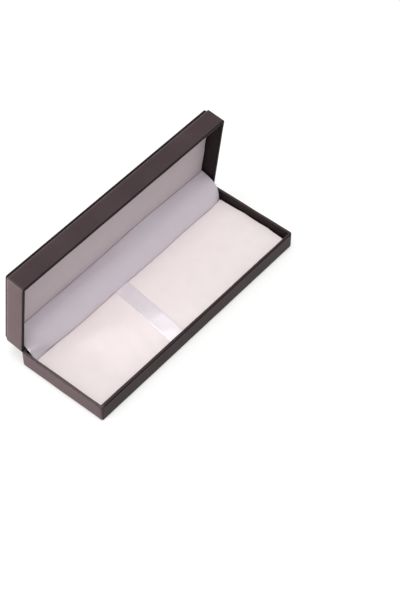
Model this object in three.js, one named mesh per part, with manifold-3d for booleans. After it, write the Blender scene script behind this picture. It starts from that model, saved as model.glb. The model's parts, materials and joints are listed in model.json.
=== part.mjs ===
// Clamshell box for one pen, standing open: a lined base, a hinged lid with a stitched panel on top,
// a padded insert with a ribbon across it, and a flexible cover over the hinges.
// Millimetres, +X along the length, -Y to the front, +Z up, origin under the middle of the base.
import * as THREE from "three";
import { mergeVertices } from "three/addons/utils/BufferGeometryUtils.js";
import Module from "manifold-3d";

const wasm = await Module();
wasm.setup();

// Driving dimensions of the closed box
const LENGTH = 175;
const DEPTH = 63.6;
const BASE_HEIGHT = 12.7;
const LID_WALL_HEIGHT = 12.9;
const PANEL_THICKNESS = 1.9;
const OPEN_ANGLE_DEG = 83;

// Wall layers, from the outside in: leather, glue, shell, glue, leather turned in over the rim
const LEATHER = 0.35;
const GLUE = 0.1;
const SHELL = 1.1;
const WALL = LEATHER + GLUE + SHELL + GLUE + LEATHER;
const PARTING_GAP = 0.3;
const CORNER_RADIUS = 1.6;
const BASE_EDGE_RADIUS = 1.5;
const LID_EDGE_RADIUS = 1.0;
const SPINE_RADIUS = 3.5;
const LEAST_RADIUS = 0.15;
const TURN_IN = 7;
const UNDERSIDE_PROUD = 0.3;
const UNDERSIDE_CLEARANCE = 0.3;

// Stitched panel on the lid
const PANEL_INSET = 1.1;
const PANEL_CORNER = 1.4;
const PANEL_EDGE_RADIUS = 0.8;
const PANEL_SHADOW_GAP = 0.35;
const PANEL_BOARD = 0.8;
const STITCH_INSET = 2.8;
const STITCH_GROOVE_WIDTH = 0.9;
const STITCH_GROOVE_DEPTH = 0.18;
const LAP_SEAM_HEIGHT = 2;
const LAP_SEAM_GAP = 0.15;

// Padded insert in the base
const INSERT_CARD = 0.8;
const FABRIC = 0.35;
const PAD_SIDE_CLEARANCE = 0.7;
const PAD_HINGE_ROOM = 8.1;
const PAD_CORNER = 2.5;
const PAD_EDGE_RADIUS = 1.1;
const PAD_EDGE_HEIGHT = 7.9;
const PAD_CROWN = 0.7;
const PAD_CROWN_REACH = 18;
const PAD_DECK_HEIGHT = 5.7;
const PAD_COVER_HEM = 3;
const PAD_LAYER_GAP = 0.1;

// Ribbon across the insert
const RIBBON_WIDTH = 10.8;
const RIBBON_THICKNESS = 0.3;
const RIBBON_MIDDLE = -13.3;
const RIBBON_SKEW_DEG = 7.9;
const RIBBON_LIFT = 0.12;
const RIBBON_LEG = 4;

// Lining of the lid
const LINER_SIDE_CLEARANCE = 0.9;
const LINER_HINGE_ROOM = 9.3;
const LINER_CORNER = 1.2;
const LINER_EDGE_RADIUS = 0.5;
const LINER_BOARD = 0.5;
const LINER_FOAM = 0.4;

// Flexible cover over the hinges
const COVER_RADIUS = 13;
const COVER_THICKNESS = 0.5;
const COVER_PAD_GAP = 0.7;
const COVER_BEND_HEIGHT = 9.3;
const COVER_TUCK_HEIGHT = 3.3;
const COVER_SWEEP_DEG = 105;
const COVER_END_CLEARANCE = 1.3;

// Hinges: two leaves curled round a pin, each riveted to its shell
const KNUCKLE_RADIUS = 0.9;
const LEAF = 0.4;
const PIN_CLEARANCE = 0.05;
const HINGE_LENGTH = 24;
const HINGE_SPACING_SHARE = 0.594;
const HINGE_SPACING = LENGTH * HINGE_SPACING_SHARE;
const LEAF_HEIGHT = 7.5;
const KNUCKLE_GAP = 0.2;
const KNUCKLE_ROOM = 0.25;
const LEAF_ROOM = 0.2;
const PIN_OVERHANG = 0.2;
const RIVET_RADIUS = 0.7;
const RIVET_HEAD_RADIUS = 1.4;
const RIVET_HEAD_HEIGHT = 0.6;
const RIVET_CLEARANCE = 0.08;
const RIVET_SPACING = 12;
const RIVET_HEIGHT = 4.6;

const OVERRUN = 5;
const CORNER_STEPS = 4;
const EDGE_STEPS = 4;
const CROWN_STEPS = 5;
const ROUND_SIDES = 20;
const COVER_STEPS = 18;
const WELD = 1e-4;

// Heights and places that follow
const HALF_LENGTH = LENGTH / 2;
const HALF_DEPTH = DEPTH / 2;
const LID_RIM = BASE_HEIGHT + PARTING_GAP;
const LID_TOP = LID_RIM + LID_WALL_HEIGHT;
const PANEL_TOP = LID_TOP + PANEL_THICKNESS;
const AXIS_Y = HALF_DEPTH - KNUCKLE_RADIUS;
const AXIS_Z = BASE_HEIGHT + PARTING_GAP / 2;
const FLOOR = UNDERSIDE_PROUD + WALL;
const PLAN = { left: -HALF_LENGTH, right: HALF_LENGTH, front: -HALF_DEPTH, back: HALF_DEPTH, corner: CORNER_RADIUS };

// Solids and geometry

function solidOf(geometry) {
  const bare = geometry.clone();
  bare.deleteAttribute("normal");
  bare.deleteAttribute("uv");
  const welded = mergeVertices(bare, WELD);
  return new wasm.Manifold(new wasm.Mesh({
    numProp: 3,
    vertProperties: new Float32Array(welded.attributes.position.array),
    triVerts: new Uint32Array(welded.index.array),
  }));
}

function geometryOf(solid) {
  const mesh = solid.getMesh();
  const geometry = new THREE.BufferGeometry();
  geometry.setAttribute("position", new THREE.BufferAttribute(mesh.vertProperties, 3));
  geometry.setIndex(new THREE.BufferAttribute(mesh.triVerts, 1));
  const flat = geometry.toNonIndexed();
  flat.computeVertexNormals();
  return flat;
}

// A plan is a rectangle with rounded corners, seen from above.
function inward(plan, inset) {
  return {
    left: plan.left + inset,
    right: plan.right - inset,
    front: plan.front + inset,
    back: plan.back - inset,
    corner: Math.max(plan.corner - inset, LEAST_RADIUS),
  };
}

function ring(plan, z) {
  const { left, right, front, back, corner } = plan;
  const centres = [
    [right - corner, back - corner],
    [left + corner, back - corner],
    [left + corner, front + corner],
    [right - corner, front + corner],
  ];
  return centres.flatMap(([x, y], quarter) =>
    Array.from({ length: CORNER_STEPS + 1 }, (_, step) => {
      const turn = ((quarter + step / CORNER_STEPS) * Math.PI) / 2;
      return new THREE.Vector3(x + corner * Math.cos(turn), y + corner * Math.sin(turn), z);
    }),
  );
}

// Skins a stack of rings, lowest first, and closes both ends with a fan.
function loft(rings) {
  const count = rings[0].length;
  const positions = rings.flat().flatMap((point) => point.toArray());
  const index = [];
  for (let level = 0; level + 1 < rings.length; level += 1) {
    for (let side = 0; side < count; side += 1) {
      const here = level * count + side;
      const next = level * count + ((side + 1) % count);
      index.push(here, next, next + count, here, next + count, here + count);
    }
  }
  const caps = [[0, true], [rings.length - 1, false]];
  for (const [level, faceDown] of caps) {
    const middle = rings[level].reduce((sum, point) => sum.add(point), new THREE.Vector3());
    middle.divideScalar(count);
    const hub = positions.length / 3;
    positions.push(...middle.toArray());
    for (let side = 0; side < count; side += 1) {
      const here = level * count + side;
      const next = level * count + ((side + 1) % count);
      index.push(hub, ...(faceDown ? [next, here] : [here, next]));
    }
  }
  const geometry = new THREE.BufferGeometry();
  geometry.setAttribute("position", new THREE.Float32BufferAttribute(positions, 3));
  geometry.setIndex(index);
  return geometry;
}

// A block on a plan, with its lower or upper edge rounded all round.
function block(plan, low, high, lowRadius = 0, highRadius = 0) {
  const rings = [];
  const lowSteps = lowRadius > 0 ? EDGE_STEPS : 0;
  for (let step = 0; step <= lowSteps; step += 1) {
    const turn = lowSteps ? (step / lowSteps) * (Math.PI / 2) : 0;
    rings.push(ring(inward(plan, lowRadius * (1 - Math.sin(turn))), low + lowRadius * (1 - Math.cos(turn))));
  }
  const highSteps = highRadius > 0 ? EDGE_STEPS : 0;
  for (let step = 0; step <= highSteps; step += 1) {
    const turn = highSteps ? (step / highSteps) * (Math.PI / 2) : 0;
    rings.push(ring(inward(plan, highRadius * (1 - Math.cos(turn))), high - highRadius * (1 - Math.sin(turn))));
  }
  return solidOf(loft(rings));
}

// A section drawn in Y and Z, drawn out along X to both sides of its middle.
function alongX(section, length, middle = 0) {
  const geometry = new THREE.ExtrudeGeometry(section, {
    depth: length,
    bevelEnabled: false,
    curveSegments: COVER_STEPS,
  });
  geometry.translate(0, 0, middle - length / 2);
  geometry.applyMatrix4(new THREE.Matrix4().makeBasis(
    new THREE.Vector3(0, 1, 0),
    new THREE.Vector3(0, 0, 1),
    new THREE.Vector3(1, 0, 0),
  ));
  return solidOf(geometry);
}

function polygon(points) {
  return new THREE.Shape(points.map(([y, z]) => new THREE.Vector2(y, z)));
}

function box(left, right, front, back, low, high) {
  const geometry = new THREE.BoxGeometry(right - left, back - front, high - low);
  geometry.translate((left + right) / 2, (front + back) / 2, (low + high) / 2);
  return solidOf(geometry);
}

function rodAlongX(radius, length, middle, y, z) {
  const geometry = new THREE.CylinderGeometry(radius, radius, length, ROUND_SIDES);
  geometry.rotateZ(Math.PI / 2);
  geometry.translate(middle, y, z);
  return solidOf(geometry);
}

function rodAlongY(radius, front, back, x, z) {
  const geometry = new THREE.CylinderGeometry(radius, radius, back - front, ROUND_SIDES);
  geometry.translate(x, (front + back) / 2, z);
  return solidOf(geometry);
}

// Hinge places: one value per hinge, and the two rivets of a leaf
const HINGES = [
  { side: "left", middle: -HINGE_SPACING / 2 },
  { side: "right", middle: HINGE_SPACING / 2 },
];
const rivetPlaces = (middle) => [middle - RIVET_SPACING / 2, middle + RIVET_SPACING / 2];
const BASE_SIDE = -1;
const LID_SIDE = 1;

// The space that the hinges need in a shell and its leather. side is -1 in the base and 1 in the lid.
function hingeRoom(side) {
  const leafBack = AXIS_Y - KNUCKLE_RADIUS + LEAF + LEAF_ROOM;
  const leafEnd = AXIS_Z + side * (LEAF_HEIGHT + LEAF_ROOM);
  const rooms = HINGES.flatMap(({ middle }) => {
    const half = HINGE_LENGTH / 2 + LEAF_ROOM;
    return [
      rodAlongX(KNUCKLE_RADIUS + KNUCKLE_ROOM, HINGE_LENGTH + 2 * (LEAF_ROOM + PIN_OVERHANG), middle, AXIS_Y, AXIS_Z),
      box(middle - half, middle + half, AXIS_Y - OVERRUN, leafBack, Math.min(leafEnd, AXIS_Z), Math.max(leafEnd, AXIS_Z)),
      ...rivetPlaces(middle).map((x) => rodAlongY(
        RIVET_RADIUS + RIVET_CLEARANCE,
        AXIS_Y - OVERRUN,
        HALF_DEPTH - LEATHER - GLUE / 2,
        x,
        AXIS_Z + side * RIVET_HEIGHT,
      )),
    ];
  });
  return wasm.Manifold.union(rooms);
}

// The back rims are bevelled outside the hinge axis. The bevels meet and stop the lid when it's open.
function backBevel(side) {
  const start = AXIS_Z + side * (PARTING_GAP / 2);
  const fall = OVERRUN * Math.tan(THREE.MathUtils.degToRad(OPEN_ANGLE_DEG / 2));
  return alongX(polygon([
    [AXIS_Y, start],
    [AXIS_Y + OVERRUN, start + side * fall],
    [AXIS_Y + OVERRUN, start - side * OVERRUN],
    [AXIS_Y, start - side * OVERRUN],
  ]), LENGTH + OVERRUN);
}

// The lid's rounded back edge, as a long bar that each layer is trimmed to.
function spineBar(inset) {
  const radius = SPINE_RADIUS - inset;
  const centreY = HALF_DEPTH - SPINE_RADIUS;
  const centreZ = PANEL_TOP - SPINE_RADIUS;
  const section = new THREE.Shape();
  section.moveTo(-DEPTH, 0);
  section.lineTo(HALF_DEPTH - inset, 0);
  section.lineTo(HALF_DEPTH - inset, centreZ);
  section.absarc(centreY, centreZ, radius, 0, Math.PI / 2, false);
  section.lineTo(-DEPTH, PANEL_TOP - inset);
  section.closePath();
  return alongX(section, LENGTH + OVERRUN);
}

// The base's and the lid's outer form, offset inward. rimInset holds the form back from the rim.
function baseForm(inset, rimInset) {
  const radius = Math.max(BASE_EDGE_RADIUS - inset, LEAST_RADIUS);
  return block(inward(PLAN, inset), UNDERSIDE_PROUD + inset, BASE_HEIGHT - rimInset, radius, 0);
}

function lidForm(inset, rimInset) {
  const radius = Math.max(LID_EDGE_RADIUS - inset, LEAST_RADIUS);
  return block(inward(PLAN, inset), LID_RIM + rimInset, LID_TOP - inset, 0, radius).intersect(spineBar(inset));
}

function shellFrom(form) {
  const outside = LEATHER + GLUE;
  return form(outside, outside).subtract(form(outside + SHELL, -OVERRUN));
}

// One sheet of leather: outside, over the rim and down inside, with a border turned in at both ends.
function wrapFrom(form, low, high) {
  const pocket = form(LEATHER, LEATHER).subtract(form(WALL - LEATHER, -OVERRUN));
  const border = inward(PLAN, WALL + TURN_IN);
  const window = block(border, low, high);
  return form(0, 0).subtract(form(WALL, -OVERRUN)).subtract(pocket).subtract(window);
}

// Base pieces

function baseShell() {
  return shellFrom(baseForm).subtract(hingeRoom(BASE_SIDE));
}

function baseWrap() {
  return wrapFrom(baseForm, -OVERRUN, FLOOR + OVERRUN).subtract(hingeRoom(BASE_SIDE)).subtract(backBevel(BASE_SIDE));
}

function undersidePanel() {
  const plan = inward(PLAN, WALL + TURN_IN + UNDERSIDE_CLEARANCE);
  return block(plan, 0, UNDERSIDE_PROUD + LEATHER);
}

const PAD_PLAN = {
  left: PLAN.left + WALL + PAD_SIDE_CLEARANCE,
  right: PLAN.right - WALL - PAD_SIDE_CLEARANCE,
  front: PLAN.front + WALL + PAD_SIDE_CLEARANCE,
  back: PLAN.back - PAD_HINGE_ROOM,
  corner: PAD_CORNER,
};

// How high the pad's crown stands above its edge, at a distance in from the edge.
function crownRise(distance) {
  const share = Math.min(distance / PAD_CROWN_REACH, 1);
  return PAD_CROWN * (1 - (1 - share) ** 2);
}

function crownedBlock(plan, low, edgeHeight) {
  const rings = [ring(plan, low)];
  for (let step = 0; step <= EDGE_STEPS; step += 1) {
    const turn = (step / EDGE_STEPS) * (Math.PI / 2);
    const inset = PAD_EDGE_RADIUS * (1 - Math.cos(turn));
    rings.push(ring(inward(plan, inset), edgeHeight - PAD_EDGE_RADIUS * (1 - Math.sin(turn))));
  }
  for (let step = 1; step <= CROWN_STEPS; step += 1) {
    const distance = (step / CROWN_STEPS) * PAD_CROWN_REACH;
    rings.push(ring(inward(plan, PAD_EDGE_RADIUS + distance), edgeHeight + crownRise(distance)));
  }
  return solidOf(loft(rings));
}

function insertPlatform() {
  const plan = inward(PAD_PLAN, FABRIC + PAD_LAYER_GAP);
  const inside = block(inward(plan, INSERT_CARD), FLOOR - OVERRUN, PAD_DECK_HEIGHT - INSERT_CARD);
  return block(plan, FLOOR + PAD_LAYER_GAP, PAD_DECK_HEIGHT).subtract(inside);
}

function padFoam() {
  const plan = inward(PAD_PLAN, FABRIC + PAD_LAYER_GAP);
  return crownedBlock(plan, PAD_DECK_HEIGHT + PAD_LAYER_GAP, PAD_EDGE_HEIGHT - FABRIC - PAD_LAYER_GAP);
}

function padCover() {
  const inside = crownedBlock(inward(PAD_PLAN, FABRIC), FLOOR, PAD_EDGE_HEIGHT - FABRIC);
  return crownedBlock(PAD_PLAN, PAD_COVER_HEM, PAD_EDGE_HEIGHT).subtract(inside);
}

// The ribbon's path from front to back, as [y, z] points at a height above the pad.
function ribbonPath(lift) {
  const top = (distance) => PAD_EDGE_HEIGHT + crownRise(distance) + lift;
  const low = PAD_EDGE_HEIGHT - RIBBON_LEG;
  const path = [[PAD_PLAN.front - lift, low]];
  const places = Array.from({ length: CROWN_STEPS + 1 }, (_, step) => (step / CROWN_STEPS) * PAD_CROWN_REACH);
  const shoulder = Array.from({ length: EDGE_STEPS + 1 }, (_, step) => (step / EDGE_STEPS) * (Math.PI / 2));
  const radius = PAD_EDGE_RADIUS + lift;
  for (const turn of shoulder) {
    path.push([
      PAD_PLAN.front + PAD_EDGE_RADIUS - radius * Math.cos(turn),
      PAD_EDGE_HEIGHT - PAD_EDGE_RADIUS + radius * Math.sin(turn),
    ]);
  }
  for (const distance of places.slice(1)) {
    path.push([PAD_PLAN.front + PAD_EDGE_RADIUS + distance, top(distance)]);
  }
  for (const distance of places.slice(1).reverse()) {
    path.push([PAD_PLAN.back - PAD_EDGE_RADIUS - distance, top(distance)]);
  }
  for (const turn of shoulder.slice().reverse()) {
    path.push([
      PAD_PLAN.back - PAD_EDGE_RADIUS + radius * Math.cos(turn),
      PAD_EDGE_HEIGHT - PAD_EDGE_RADIUS + radius * Math.sin(turn),
    ]);
  }
  path.push([PAD_PLAN.back + lift, low]);
  return path;
}

function ribbonStrap() {
  const under = ribbonPath(RIBBON_LIFT);
  const over = ribbonPath(RIBBON_LIFT + RIBBON_THICKNESS).reverse();
  const straight = alongX(polygon([...under, ...over]), RIBBON_WIDTH, RIBBON_MIDDLE);
  const geometry = geometryOf(straight);
  const skew = Math.tan(THREE.MathUtils.degToRad(RIBBON_SKEW_DEG));
  geometry.applyMatrix4(new THREE.Matrix4().makeShear(0, 0, skew, 0, 0, 0));
  return solidOf(geometry);
}

// A curled flap from behind the pad's back edge, over the hinges, to behind the lower edge of the lid's lining.
function hingeCover() {
  const footY = PAD_PLAN.back + COVER_PAD_GAP;
  const centreY = footY + COVER_RADIUS;
  const end = Math.PI - THREE.MathUtils.degToRad(COVER_SWEEP_DEG);
  const section = new THREE.Shape();
  section.moveTo(footY, COVER_TUCK_HEIGHT);
  section.lineTo(footY, COVER_BEND_HEIGHT);
  section.absarc(centreY, COVER_BEND_HEIGHT, COVER_RADIUS, Math.PI, end, true);
  section.absarc(centreY, COVER_BEND_HEIGHT, COVER_RADIUS - COVER_THICKNESS, end, Math.PI, false);
  section.lineTo(footY + COVER_THICKNESS, COVER_TUCK_HEIGHT);
  section.closePath();
  return alongX(section, LENGTH - 2 * (WALL + COVER_END_CLEARANCE));
}

// Hinge pieces, in the place that they have with the lid closed

function hingeLeaf(side, middle) {
  const bore = KNUCKLE_RADIUS - LEAF;
  const inner = AXIS_Y - KNUCKLE_RADIUS;
  const plateLow = Math.min(AXIS_Z, AXIS_Z + side * LEAF_HEIGHT);
  const plateHigh = Math.max(AXIS_Z, AXIS_Z + side * LEAF_HEIGHT);
  const half = HINGE_LENGTH / 2;
  const plate = box(middle - half, middle + half, inner, inner + LEAF, plateLow, plateHigh);
  const curl = rodAlongX(KNUCKLE_RADIUS, HINGE_LENGTH, middle, AXIS_Y, AXIS_Z);
  const hole = rodAlongX(bore, HINGE_LENGTH + OVERRUN, middle, AXIS_Y, AXIS_Z);
  const third = HINGE_LENGTH / 3;
  const room = KNUCKLE_RADIUS + KNUCKLE_GAP;
  const others = side === BASE_SIDE
    ? [rodAlongX(room, third + 2 * KNUCKLE_GAP, middle, AXIS_Y, AXIS_Z)]
    : [middle - third, middle + third].map((x) => rodAlongX(room, third, x, AXIS_Y, AXIS_Z));
  const ends = side === BASE_SIDE
    ? []
    : [middle - half, middle + half].map((x) => rodAlongX(room, KNUCKLE_GAP, x, AXIS_Y, AXIS_Z));
  const rivets = rivetPlaces(middle).map((x) => rodAlongY(
    RIVET_RADIUS + RIVET_CLEARANCE,
    inner - OVERRUN,
    inner + OVERRUN,
    x,
    AXIS_Z + side * RIVET_HEIGHT,
  ));
  const cuts = wasm.Manifold.union([hole, ...others, ...ends, ...rivets]);
  return plate.add(curl).subtract(cuts);
}

function hingePin(middle) {
  const radius = KNUCKLE_RADIUS - LEAF - PIN_CLEARANCE;
  return rodAlongX(radius, HINGE_LENGTH + 2 * PIN_OVERHANG, middle, AXIS_Y, AXIS_Z);
}

// A domed head inside the box, and a shank through the leaf and the shell.
function rivet(side, x) {
  const seat = AXIS_Y - KNUCKLE_RADIUS - GLUE;
  const tail = HALF_DEPTH - LEATHER - GLUE;
  const dome = new THREE.Path();
  dome.moveTo(0, seat - RIVET_HEAD_HEIGHT);
  dome.quadraticCurveTo(RIVET_HEAD_RADIUS, seat - RIVET_HEAD_HEIGHT, RIVET_HEAD_RADIUS, seat);
  dome.lineTo(RIVET_RADIUS, seat);
  dome.lineTo(RIVET_RADIUS, tail);
  dome.lineTo(0, tail);
  const geometry = new THREE.LatheGeometry(dome.getPoints(EDGE_STEPS), ROUND_SIDES);
  geometry.translate(x, 0, AXIS_Z + side * RIVET_HEIGHT);
  return solidOf(geometry);
}

// Lid pieces, in the place that they have with the lid closed

function lidShell() {
  return shellFrom(lidForm).subtract(hingeRoom(LID_SIDE));
}

// The panel's leather runs on over the back, so the lid's own leather stops short of it there.
function lidWrap() {
  const half = HALF_LENGTH - PANEL_INSET + LAP_SEAM_GAP;
  const low = LID_RIM + LAP_SEAM_HEIGHT - LAP_SEAM_GAP;
  const behind = box(-half, half, HALF_DEPTH - SPINE_RADIUS, HALF_DEPTH + OVERRUN, low, PANEL_TOP);
  const lapRoom = behind.subtract(spineBar(LEATHER + GLUE / 2));
  return wrapFrom(lidForm, LID_TOP - WALL - OVERRUN, LID_TOP + OVERRUN)
    .subtract(hingeRoom(LID_SIDE))
    .subtract(backBevel(LID_SIDE))
    .subtract(lapRoom);
}

const PANEL_PLAN = {
  left: PLAN.left + PANEL_INSET,
  right: PLAN.right - PANEL_INSET,
  front: PLAN.front + PANEL_INSET,
  back: PLAN.back + OVERRUN,
  corner: PANEL_CORNER,
};

function panelBoard() {
  const plan = inward(PANEL_PLAN, LEATHER + GLUE);
  return block(plan, LID_TOP + GLUE, LID_TOP + GLUE + PANEL_BOARD).intersect(spineBar(LEATHER + GLUE));
}

function panelFoam() {
  const plan = inward(PANEL_PLAN, LEATHER + GLUE);
  const low = LID_TOP + GLUE + PANEL_BOARD + GLUE;
  const radius = PANEL_EDGE_RADIUS - LEATHER - GLUE;
  return block(plan, low, PANEL_TOP - LEATHER - GLUE, 0, radius).intersect(spineBar(LEATHER + GLUE));
}

// The sunk line that the stitches lie in: both short sides and the front.
function stitchGroove() {
  const plan = inward(PANEL_PLAN, STITCH_INSET);
  const half = STITCH_GROOVE_WIDTH / 2;
  const low = PANEL_TOP - STITCH_GROOVE_DEPTH;
  const outer = block(inward(plan, -half), low, PANEL_TOP + OVERRUN);
  const inner = block(inward(plan, half), low - OVERRUN, PANEL_TOP + 2 * OVERRUN);
  const reach = HALF_DEPTH - SPINE_RADIUS;
  return outer.subtract(inner).intersect(box(-LENGTH, LENGTH, -DEPTH, reach, 0, PANEL_TOP + OVERRUN));
}

// The panel's leather: top, skirts on three sides, and the lap over the rounded back of the lid.
function panelLeather() {
  const skirt = LID_TOP + PANEL_SHADOW_GAP;
  const plate = block(PANEL_PLAN, skirt, PANEL_TOP, 0, PANEL_EDGE_RADIUS);
  const { left, right } = PANEL_PLAN;
  const lapLow = LID_RIM + LAP_SEAM_HEIGHT;
  const lap = box(left, right, HALF_DEPTH - SPINE_RADIUS, HALF_DEPTH + OVERRUN, lapLow, LID_TOP + PANEL_THICKNESS / 2);
  const inPlan = inward(PANEL_PLAN, LEATHER);
  const insideEdge = PANEL_EDGE_RADIUS - LEATHER;
  const plateInside = block(inPlan, skirt - OVERRUN, PANEL_TOP - LEATHER, 0, insideEdge);
  const lapInside = box(left - OVERRUN, right + OVERRUN, -DEPTH, HALF_DEPTH + OVERRUN, 0, skirt);
  const outside = plate.add(lap).intersect(spineBar(0));
  const inside = plateInside.add(lapInside).intersect(spineBar(LEATHER));
  return outside.subtract(inside).subtract(stitchGroove());
}

const LINER_PLAN = {
  left: PLAN.left + WALL + LINER_SIDE_CLEARANCE,
  right: PLAN.right - WALL - LINER_SIDE_CLEARANCE,
  front: PLAN.front + WALL + LINER_SIDE_CLEARANCE,
  back: PLAN.back - LINER_HINGE_ROOM,
  corner: LINER_CORNER,
};
const LINER_CEILING = LID_TOP - WALL - GLUE;
const LINER_FACE = LINER_CEILING - LINER_BOARD - GLUE - LINER_FOAM - GLUE - FABRIC;

function linerBoard() {
  const plan = inward(LINER_PLAN, FABRIC + GLUE);
  return block(plan, LINER_CEILING - LINER_BOARD, LINER_CEILING);
}

function linerFoam() {
  const plan = inward(LINER_PLAN, FABRIC + GLUE);
  return block(plan, LINER_FACE + FABRIC + GLUE, LINER_CEILING - LINER_BOARD - GLUE);
}

function linerFabric() {
  const inside = block(inward(LINER_PLAN, FABRIC), LINER_FACE + FABRIC, LINER_CEILING + OVERRUN);
  return block(LINER_PLAN, LINER_FACE, LINER_CEILING, LINER_EDGE_RADIUS, 0).subtract(inside);
}

// Materials

const DARK_LEATHER = { color: 0x4b4142, roughness: 0.55, metalness: 0 };
const SHELL_PLASTIC = { color: 0x2b2727, roughness: 0.7, metalness: 0 };
const GREY_CARD = { color: 0x8f8a84, roughness: 0.95, metalness: 0 };
const WHITE_FOAM = { color: 0xe9e6e2, roughness: 0.95, metalness: 0 };
const PALE_CLOTH = { color: 0xeee4e3, roughness: 0.8, metalness: 0 };
const GREY_CLOTH = { color: 0xb3a8a9, roughness: 0.8, metalness: 0 };
const LILAC_CLOTH = { color: 0xc5bac4, roughness: 0.6, metalness: 0 };
const SATIN = { color: 0xe4dde6, roughness: 0.35, metalness: 0 };
const STEEL = { color: 0xa9a9ab, roughness: 0.35, metalness: 1 };

function piece(name, solid, finish) {
  const mesh = new THREE.Mesh(geometryOf(solid), new THREE.MeshStandardMaterial(finish));
  mesh.name = name;
  return mesh;
}

// Assembly

const penBox = new THREE.Group();
penBox.add(
  piece("base_shell", baseShell(), SHELL_PLASTIC),
  piece("base_leather", baseWrap(), DARK_LEATHER),
  piece("underside_panel", undersidePanel(), DARK_LEATHER),
  piece("insert_platform", insertPlatform(), GREY_CARD),
  piece("pad_foam", padFoam(), WHITE_FOAM),
  piece("pad_cover", padCover(), PALE_CLOTH),
  piece("ribbon_strap", ribbonStrap(), SATIN),
  piece("hinge_cover", hingeCover(), LILAC_CLOTH),
);

// The lid's pieces are made closed and turned open together about the hinge axis.
const lidTurn = new THREE.Group();
lidTurn.position.set(0, AXIS_Y, AXIS_Z);
lidTurn.rotation.x = -THREE.MathUtils.degToRad(OPEN_ANGLE_DEG);
const lid = new THREE.Group();
lid.position.set(0, -AXIS_Y, -AXIS_Z);
lid.add(
  piece("lid_shell", lidShell(), SHELL_PLASTIC),
  piece("lid_leather", lidWrap(), DARK_LEATHER),
  piece("panel_board", panelBoard(), GREY_CARD),
  piece("panel_foam", panelFoam(), WHITE_FOAM),
  piece("panel_leather", panelLeather(), DARK_LEATHER),
  piece("liner_board", linerBoard(), GREY_CARD),
  piece("liner_foam", linerFoam(), WHITE_FOAM),
  piece("liner_cloth", linerFabric(), GREY_CLOTH),
);

for (const { side, middle } of HINGES) {
  penBox.add(piece(`hinge_base_leaf_${side}`, hingeLeaf(BASE_SIDE, middle), STEEL));
  penBox.add(piece(`hinge_pin_${side}`, hingePin(middle), STEEL));
  lid.add(piece(`hinge_lid_leaf_${side}`, hingeLeaf(LID_SIDE, middle), STEEL));
  rivetPlaces(middle).forEach((x, place) => {
    penBox.add(piece(`base_rivet_${side}_${place + 1}`, rivet(BASE_SIDE, x), STEEL));
    lid.add(piece(`lid_rivet_${side}_${place + 1}`, rivet(LID_SIDE, x), STEEL));
  });
}

lidTurn.add(lid);
penBox.add(lidTurn);
export default penBox;
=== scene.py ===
"""Looks of an open pen box: dark leatherette over a base and a lid, a stitched panel on the lid,
a soft pale insert with a satin ribbon, and a cloth cover over the hinges.

Lengths are worked out in millimetres with the lid shut, and pieces of the lid are turned open last."""

import json
import math

import bpy
import numpy as np
from mathutils import Matrix, Vector
from mathutils.bvhtree import BVHTree

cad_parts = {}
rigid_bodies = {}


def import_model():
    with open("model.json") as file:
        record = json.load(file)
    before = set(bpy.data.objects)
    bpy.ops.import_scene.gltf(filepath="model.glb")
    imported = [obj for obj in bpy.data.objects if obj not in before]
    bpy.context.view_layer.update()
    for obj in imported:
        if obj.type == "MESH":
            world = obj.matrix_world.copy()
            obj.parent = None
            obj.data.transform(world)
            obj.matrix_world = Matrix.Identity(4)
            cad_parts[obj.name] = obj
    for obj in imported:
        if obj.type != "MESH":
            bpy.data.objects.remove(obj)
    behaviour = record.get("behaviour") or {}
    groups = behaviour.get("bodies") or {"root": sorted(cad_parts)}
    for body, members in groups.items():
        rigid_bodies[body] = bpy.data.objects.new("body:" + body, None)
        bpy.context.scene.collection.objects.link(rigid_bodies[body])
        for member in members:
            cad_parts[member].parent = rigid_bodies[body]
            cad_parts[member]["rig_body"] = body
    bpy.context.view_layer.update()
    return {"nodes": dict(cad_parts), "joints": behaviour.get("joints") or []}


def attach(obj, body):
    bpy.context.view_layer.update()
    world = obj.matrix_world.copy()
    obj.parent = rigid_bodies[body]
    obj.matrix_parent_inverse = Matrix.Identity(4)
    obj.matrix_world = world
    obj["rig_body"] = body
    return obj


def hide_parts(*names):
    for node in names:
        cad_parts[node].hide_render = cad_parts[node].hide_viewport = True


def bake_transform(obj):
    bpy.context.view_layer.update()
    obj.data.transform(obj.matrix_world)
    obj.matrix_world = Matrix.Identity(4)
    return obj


bl_info = {
    "name": "Leatherette Pen Box",
    "version": (1, 0, 0),
    "blender": (4, 5, 0),
    "location": "3D View > Sidebar > Pen Box",
    "description": "Covers the packed pen box in leatherette, cloth, satin and stitching",
    "category": "Add Mesh",
}

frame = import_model()

MM = 0.001
JOINT = frame["joints"][0]
AXIS = np.array(JOINT["pos_m"]) / MM
OPEN_ANGLE = math.radians(JOINT["range_deg"][1])
TO_AXIS = Matrix.Translation(Vector(JOINT["pos_m"]))
TURN_OPEN = TO_AXIS @ Matrix.Rotation(-OPEN_ANGLE, 4, "X") @ TO_AXIS.inverted()


def span(node):
    """Lowest and highest corner of a CAD node in millimetres, with the lid shut."""
    piece = frame["nodes"][node]
    back = TURN_OPEN.inverted() if piece["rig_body"] == "lid" else Matrix.Identity(4)
    points = np.array([back @ v.co for v in piece.data.vertices]) / MM
    return points.min(0), points.max(0)


def linear(code):
    """An sRGB hex colour as linear red, green and blue."""
    parts = [int(code[at:at + 2], 16) / 255 for at in (1, 3, 5)]
    return tuple(c / 12.92 if c <= 0.04045 else ((c + 0.055) / 1.055) ** 2.4 for c in parts)


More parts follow.
